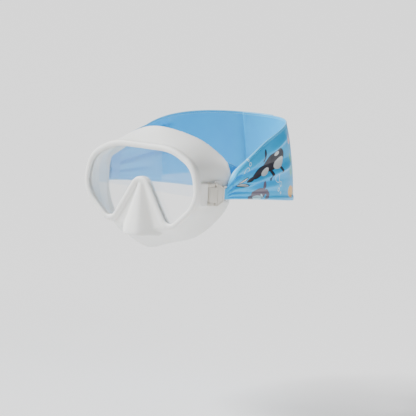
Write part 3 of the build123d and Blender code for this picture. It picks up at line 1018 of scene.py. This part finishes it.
# %% Cloth and tape finishes
def printed_cloth(name, body, shade, with_print):
    f = Finish(name)
    cloth, hem = [f.node("ShaderNodeUVMap", {"uv_map": layer}) for layer in ("cloth", "hem")]
    grow = {"operation": "SCALE"}
    place, edge = [f.node("ShaderNodeVectorMath", grow, uv, Scale=1.0 / MAP_SCALE) for uv in (cloth, hem)]
    reach, across, _ = f.split(place)
    low_edge, high_edge, _ = f.split(edge)
    from_edge = low_edge.min(high_edge)
    cloud = f.noise(60.0, 3.0)
    colour = f.mix(cloud.ramp(0.25, 0.75), shade, body)
    if with_print:
        at = f.join(reach.wrap(REPEAT + PRINT_START, PRINT_START), across)
        for ink, shapes in PRINT:
            covers = [1.0 - f.from_ellipse(at, *shape).ramp(0.95, 1.02) for shape in shapes]
            colour = f.mix(most_of(covers), colour, ink)
        rings = [ring_line(f, at, *ring) for ring in RINGS]
        colour = f.mix(most_of(rings) * 0.85, colour, RING_WHITE)
    border = 1.0 - from_edge.ramp(0.5, 0.9)
    in_line = 1.0 - (from_edge - STITCH_INSET).abs().ramp(0.1, 0.3)
    stitch = in_line * (reach.wrap(STITCH, 0.0) - 0.5).ramp(0.0, 0.1)
    colour = f.mix(border * 0.35 + stitch * 0.4, colour, HEM_BLUE)
    weave = f.node("ShaderNodeTexNoise", None, Vector=cloth, Scale=620.0, Detail=1.0)
    height = weave * 0.5 + stitch * 0.8
    f.set(Base_Color=colour, Roughness=0.40 + 0.12 * cloud, Normal=f.bump(height, 0.00006, 0.6))
    f.set(Sheen_Weight=0.15, Sheen_Roughness=0.35, Sheen_Tint=(0.6, 0.88, 1.0), IOR=1.45)
    return f.material


def tape(name, colour, scale):
    f = Finish(name)
    pile = f.noise(scale, 3.0, 0.7)
    f.set(Base_Color=f.mix(pile, tuple(0.7 * c for c in colour), colour), Roughness=0.7 + 0.2 * pile)
    f.set(Normal=f.bump(pile, 0.0004, 0.9), Sheen_Weight=0.3)
    return f.material


MATERIALS["strap_fabric"] = printed_cloth("strap_fabric", (0.0, 0.50, 0.97), (0.0, 0.46, 0.95), True)
# The lining is the strap's cloth without print; its darker blue is painted shade behind the skirt's edge.
MATERIALS["lining_fabric"] = printed_cloth("lining_fabric", (0.0, 0.40, 0.90), (0.0, 0.37, 0.87), False)
MATERIALS["hook_tape"] = tape("hook_tape", (0.08, 0.32, 0.58), 2600.0)
MATERIALS["loop_tape"] = tape("loop_tape", (0.12, 0.42, 0.70), 1500.0)

# %% [markdown]
# Each strap half gets its thickness after it is laid out, with a Solidify modifier that is applied.
# Only the outer side of the real cloth is printed, so the inner side's place on the flat map is
# moved off the print. The right half laps over the left one, as the hook and loop tape needs.

# %% Strap halves
LAP_LIFT, OFF_THE_PRINT = 4.4, 3.0
for side, mirrored, lap in (("left", False, 0.0), ("right", True, LAP_LIFT)):
    cloth, long, area, wide = strap_sheet(f"strap_cloth_{side}", mirrored, lap)
    outer_faces = len(cloth.data.polygons)
    modify(cloth, "SOLIDIFY", thickness=FABRIC * MM, offset=-1.0, use_even_offset=False)
    flat_map = cloth.data.uv_layers["cloth"].data
    for face in cloth.data.polygons[outer_faces:2 * outer_faces]:
        for corner in face.loop_indices:
            flat_map[corner].uv.y += OFF_THE_PRINT
    only(cloth)
    bpy.ops.object.shade_smooth()
    dress(cloth, "strap_fabric", f"buckle_{side}", f"strap_{side}")
    cut_long = long + TURN_RADIUS * math.pi
    print("flat", round(cut_long, 1), "x", round(wide, 1), "mm, area", round(area), "mm2")
    cut_long * MM
    wide * MM
    area * MM**2

# %% [markdown]
# The inner layer is a second, shorter sheet on the head's side, whose front end curves in behind
# the skirt's edge. Its cloth has no print, and it is painted a darker blue than the strap as painted
# shade behind that edge. It is only a few stations long, so a smooth curve through them is enough.

# %% Inner layers
LINING_WIDTH, LINING_THICK = 34.0, 0.8
# x, y, low z, high z down the length of the sheet, in mm
LINING_ROWS = [
    (75.8, 14.0, -3.0, 30.6), (78.6, 16.4, -3.3, 29.2), (81.2, 20.2, -3.6, 26.8), (82.6, 23.2, -3.7, 25.4),
    (83.6, 27.0, -3.8, 25.2), (84.6, 32.5, -4.0, 25.4), (85.6, 38.0, -4.2, 26.0),
]


def along_rows(stations, count):
    """Smooth open curve through the stations, as evenly spaced stations."""
    made = []
    for n in range(count + 1):
        place = min(n * (len(stations) - 1) / count, len(stations) - 1.000001)
        i, t = int(place), place - int(place)
        four = [stations[min(max(i + k, 0), len(stations) - 1)] for k in (-1, 0, 1, 2)]
        blend = []
        for a, b, c, d in zip(*four):
            blend.append(b + 0.5 * t * (c - a + t * (2 * a - 5 * b + 4 * c - d + t * (3 * (b - c) + d - a))))
        made.append(blend)
    return made


for side, mirrored in (("left", False), ("right", True)):
    rows, reach, area, before = [], 0.0, 0.0, None
    for x, y, low, high in along_rows(LINING_ROWS, 44):
        here = Vector((x, y))
        step = (here - before).length if before else 0.0
        before, reach, width = here, reach + step, high - low
        area += step * width
        row = []
        for across in COLUMNS:
            ripple = 0.35 * math.sin(across * 17.0 + reach * 0.10) * math.exp(-reach / 30.0)
            lean = 2.4 * across * smooth((reach - 8.0) / 22.0)
            point = Vector((x - 0.6 + ripple - lean, y, low + width * across)) * MM
            row.append((point, (reach, across * 40.0), (across * width, (1.0 - across) * width)))
        rows.append(row)
    layer = cloth_sheet(f"inner_layer_{side}", rows, mirrored)
    modify(layer, "SOLIDIFY", thickness=LINING_THICK * MM, offset=0.0)
    only(layer)
    bpy.ops.object.shade_smooth()
    # The lining's darker blue is painted shade for the layer behind the skirt's edge.
    dress(layer, "lining_fabric", f"buckle_{side}", f"strap_lining_{side}")
    print("flat", round(reach, 1), "x", LINING_WIDTH, "mm, area", round(area), "mm2")
    flat = (reach * MM, LINING_WIDTH * MM)
    area * MM**2

# %% [markdown]
# The hook pad and the loop pad between the lapped ends keep the frame's shape too. Their pile is
# far too fine to model, so a rough bump and a little sheen stand for it.

# %% Pads and finish
finish_node("loop_pad", "loop_tape")
finish_node("hook_pad", "hook_tape")
